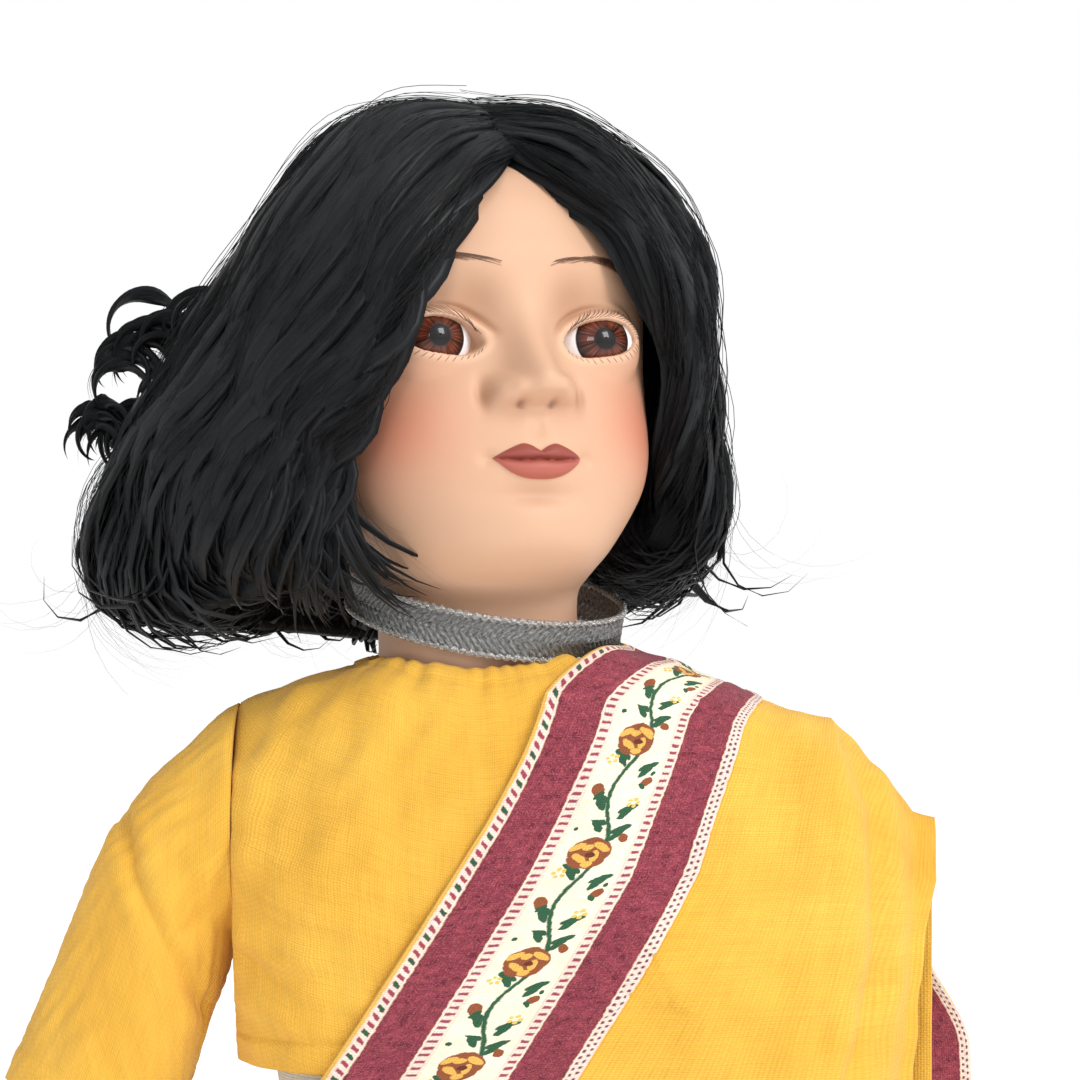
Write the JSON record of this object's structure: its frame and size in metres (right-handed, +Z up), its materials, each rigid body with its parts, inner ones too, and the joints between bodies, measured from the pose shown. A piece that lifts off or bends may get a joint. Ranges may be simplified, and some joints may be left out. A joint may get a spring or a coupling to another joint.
{
  "type": "sari doll",
  "caption": "Standing bisque collector doll in a draped sari, with glass eyes, a black wig and a braid choker, on a jointed cloth body.",
  "frame": {"origin": "on the floor under the axis of the neck, which is the middle of the footprint to within 2.5 mm", "axes": "+Z up the standing doll, -Y the way its chest faces, +X towards the doll's left hand"},
  "size_m": [0.208, 0.1671, 0.4576],
  "materials": {
    "bisque": "matte china-painted bisque",
    "pate_foam": "moulded foam",
    "eye_glass": "polished",
    "plaster": "cast, matte",
    "wig_net": "knotted net",
    "hair_fibre": "synthetic fibre with a soft sheen",
    "steel": "zinc plated",
    "washer_wood": "turned, unfinished",
    "body_cloth": "plain cotton, firmly stuffed",
    "twine": "waxed",
    "silver_braid": "metallised chevron braid",
    "yellow_cotton": "plain-weave cotton",
    "printed_border": "printed cotton",
    "lining_cotton": "starched cotton"
  },
  "bodies": {
    "torso": {"shoulder_plate": "bisque", "torso": "body_cloth", "choker": "silver_braid", "blouse": "yellow_cotton", "blouse_snaps": "steel", "petticoat": "lining_cotton", "petticoat_waistband": "lining_cotton", "sari_skirt": "yellow_cotton", "sari_pleats": "yellow_cotton", "skirt_border": "printed_border", "sari_drape": "yellow_cotton", "drape_border": "printed_border", "sari_tail": "yellow_cotton", "tail_border": "printed_border"},
    "neck_link": {"neck_bolt": "steel", "head_washer": "washer_wood", "neck_spring": "steel", "lower_washer": "steel", "neck_nut": "steel"},
    "head": {"head": "bisque", "pate": "pate_foam", "eye_right": "eye_glass", "eye_left": "eye_glass", "eye_plaster_right": "plaster", "eye_plaster_left": "plaster", "wig_cap": "wig_net", "hair_top": "hair_fibre", "hair_right": "hair_fibre", "hair_left": "hair_fibre", "hair_back": "hair_fibre"},
    "arm_right": {"upper_arm_right": "body_cloth", "sleeve_right": "yellow_cotton"},
    "forearm_right": {"forearm_right": "bisque", "arm_tie_right": "twine"},
    "arm_left": {"upper_arm_left": "body_cloth", "sleeve_left": "yellow_cotton"},
    "forearm_left": {"forearm_left": "bisque", "arm_tie_left": "twine"},
    "leg_right": {"thigh_right": "body_cloth", "lower_leg_right": "bisque", "leg_tie_right": "twine"},
    "leg_left": {"thigh_left": "body_cloth", "lower_leg_left": "bisque", "leg_tie_left": "twine"}
  },
  "joints": [
    {"name": "head_turn", "type": "hinge", "parent": "torso", "child": "neck_link", "pos_m": [0, 0, 0.345], "axis": [0, 0, 1], "range_deg": [-50, 35]},
    {"name": "head_nod", "type": "hinge", "parent": "neck_link", "child": "head", "pos_m": [0, 0, 0.345], "axis": [0.9397, 0.342, 0], "range_deg": [-4, 4]},
    {"name": "shoulder_right", "type": "hinge", "parent": "torso", "child": "arm_right", "pos_m": [-0.0513, 0, 0.321], "axis": [-1, 0, 0], "range_deg": [-35, 75]},
    {"name": "elbow_right", "type": "hinge", "parent": "arm_right", "child": "forearm_right", "pos_m": [-0.07602, 0, 0.25981], "axis": [-0.9272, 0, 0.3746], "range_deg": [-20, 22]},
    {"name": "shoulder_left", "type": "hinge", "parent": "torso", "child": "arm_left", "pos_m": [0.0513, 0, 0.321], "axis": [-1, 0, 0], "range_deg": [-8, 10]},
    {"name": "elbow_left", "type": "hinge", "parent": "arm_left", "child": "forearm_left", "pos_m": [0.06502, 0, 0.25644], "axis": [-0.9781, 0, -0.2079], "range_deg": [-20, 22]},
    {"name": "hip_right", "type": "hinge", "parent": "torso", "child": "leg_right", "pos_m": [-0.016, 0, 0.2], "axis": [-1, 0, 0], "range_deg": [-5, 8]},
    {"name": "hip_left", "type": "hinge", "parent": "torso", "child": "leg_left", "pos_m": [0.016, 0, 0.2], "axis": [-1, 0, 0], "range_deg": [-5, 8]}
  ]
}
